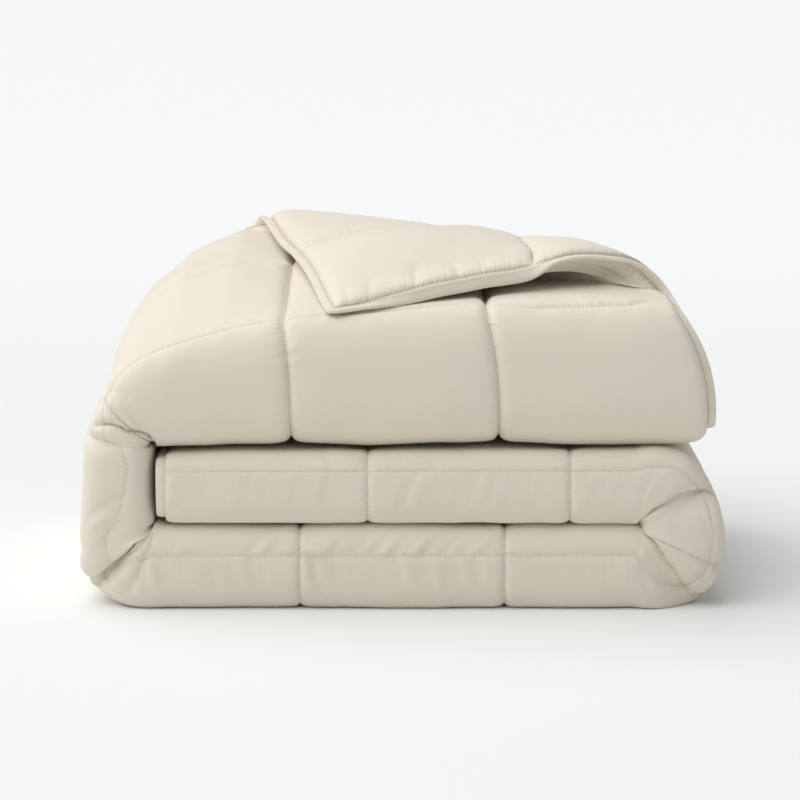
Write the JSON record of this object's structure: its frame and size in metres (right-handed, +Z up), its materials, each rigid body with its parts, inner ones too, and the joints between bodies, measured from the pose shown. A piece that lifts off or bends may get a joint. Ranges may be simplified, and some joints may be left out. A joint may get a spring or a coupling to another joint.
{
  "type": "folded duvet",
  "caption": "Quilted duvet folded lengthwise and rolled flat into a stack of three tiers, with a taped edge and one top corner turned back.",
  "frame": {"origin": "centre of the bounding box at the height of the surface it rests on", "axes": "+X along the folded strip to the right, +Y from the front folds to the rear edge, +Z up"},
  "size_m": [0.6439, 0.429, 0.3638],
  "materials": {
    "cover_cotton": "matt cream woven cotton over fill",
    "edge_tape": "matt cream woven tape"
  },
  "bodies": {
    "root": {"duvet": "cover_cotton", "binding": "edge_tape"}
  },
  "joints": []
}
